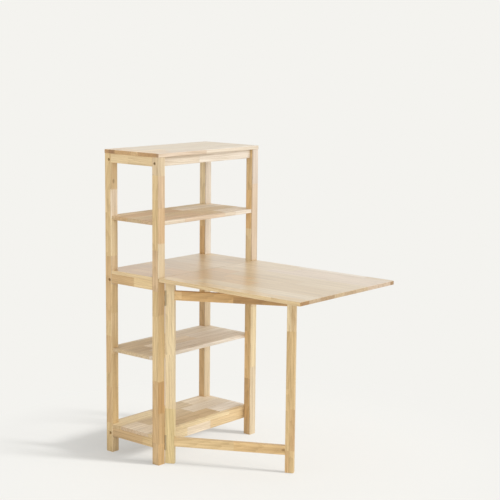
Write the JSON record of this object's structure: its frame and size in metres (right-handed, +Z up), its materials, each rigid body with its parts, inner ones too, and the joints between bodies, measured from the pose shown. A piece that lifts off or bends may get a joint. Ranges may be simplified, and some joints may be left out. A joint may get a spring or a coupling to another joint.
{
  "type": "gate-leg table with shelf unit",
  "caption": "Open wooden shelf unit with a table leaf hinged to its middle shelf and a swinging gate leg that carries the leaf.",
  "frame": {"origin": "on the floor, under the middle of the overall box of the unfolded table", "axes": "+X along the shelves to the right, +Y towards the back of the unit, +Z up"},
  "size_m": [0.594, 0.9886, 1.23],
  "materials": {
    "rubberwood": "satin clear lacquer",
    "dowel_beech": "bare",
    "zinc_steel": "zinc plated"
  },
  "bodies": {
    "shelf_unit": {"barrel_nuts": "zinc_steel", "board_screws": "zinc_steel", "bottom_rail_back": "rubberwood", "bottom_rail_front": "rubberwood", "bottom_rail_left": "rubberwood", "bottom_rail_right": "rubberwood", "bottom_shelf": "rubberwood", "frame_bolts": "zinc_steel", "gate_hinge_lower_pin": "zinc_steel", "gate_hinge_lower_post_plate": "zinc_steel", "gate_hinge_upper_pin": "zinc_steel", "gate_hinge_upper_post_plate": "zinc_steel", "hinge_screws_unit": "zinc_steel", "leaf_hinge_left_pin": "zinc_steel", "leaf_hinge_left_shelf_plate": "zinc_steel", "leaf_hinge_right_pin": "zinc_steel", "leaf_hinge_right_shelf_plate": "zinc_steel", "lower_shelf": "rubberwood", "middle_rail_back": "rubberwood", "middle_rail_left": "rubberwood", "middle_rail_right": "rubberwood", "middle_shelf": "rubberwood", "post_back_left": "rubberwood", "post_back_right": "rubberwood", "post_front_left": "rubberwood", "post_front_right": "rubberwood", "rail_dowels": "dowel_beech", "shelf_pins": "zinc_steel", "top_board": "rubberwood", "top_rail_back": "rubberwood", "top_rail_front": "rubberwood", "top_rail_left": "rubberwood", "top_rail_right": "rubberwood", "upper_shelf": "rubberwood"},
    "gate": {"gate_bottom_rail": "rubberwood", "gate_dowels": "dowel_beech", "gate_hinge_lower_gate_plate": "zinc_steel", "gate_hinge_upper_gate_plate": "zinc_steel", "gate_leg": "rubberwood", "gate_stile": "rubberwood", "gate_top_rail": "rubberwood", "hinge_screws_gate": "zinc_steel"},
    "leaf": {"hinge_screws_leaf": "zinc_steel", "leaf_hinge_left_leaf_plate": "zinc_steel", "leaf_hinge_right_leaf_plate": "zinc_steel", "table_leaf": "rubberwood"}
  },
  "joints": [
    {"name": "gate_swing", "type": "hinge", "parent": "shelf_unit", "child": "gate", "pos_m": [-0.25685, 0.1968, 0.3765], "axis": [0, 0, 1], "range_deg": [-28, 62]},
    {"name": "leaf_lift", "type": "hinge", "parent": "shelf_unit", "child": "leaf", "pos_m": [0, 0.1965, 0.7318], "axis": [-1, 0, 0], "range_deg": [0, 3.5]}
  ]
}
